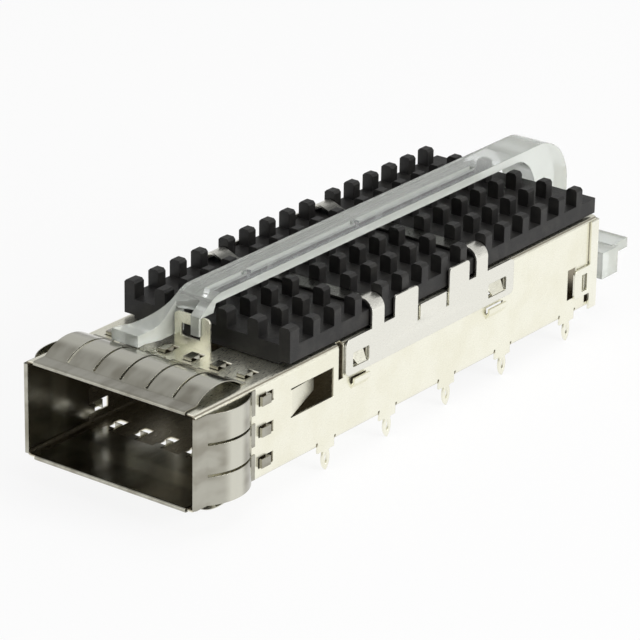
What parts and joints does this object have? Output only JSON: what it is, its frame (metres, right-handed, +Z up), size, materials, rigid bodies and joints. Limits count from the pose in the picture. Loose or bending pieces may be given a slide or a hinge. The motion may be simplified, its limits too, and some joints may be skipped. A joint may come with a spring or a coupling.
{
  "type": "port cage",
  "caption": "Sheet-metal port cage with spring-finger gaskets round its mouth, a black pin-fin heat sink held by a spring clip, and a clear light pipe over the top.",
  "frame": {"origin": "middle of the mouth's lower edge, on the outer face of the bottom panel", "axes": "+X right seen from the mouth, +Y from the mouth to the rear, +Z up from the board"},
  "size_m": [0.0214, 0.0686, 0.0162],
  "materials": {
    "cage_sheet": "satin nickel plate",
    "cover_sheet": "satin nickel plate",
    "gasket_strip": "bright rolled spring strip",
    "black_sink": "black anodised",
    "clip_sheet": "satin stainless",
    "clear_pipe": "clear moulded plastic"
  },
  "bodies": {
    "cage": {"cage_body": "cage_sheet", "rear_cover": "cover_sheet", "gasket_top": "gasket_strip", "gasket_bottom": "gasket_strip", "gasket_left": "gasket_strip", "gasket_right": "gasket_strip", "light_pipe": "clear_pipe", "heat_sink_clip": "clip_sheet"},
    "sink": {"heat_sink": "black_sink"}
  },
  "joints": [
    {"name": "sink_float", "type": "slide", "parent": "cage", "child": "sink", "axis": [0, 0, 1], "range_m": [0, 0.00035], "stiffness_N_per_m": 2000, "springref_m": -0.0005, "deforming": ["heat_sink_clip"]}
  ]
}
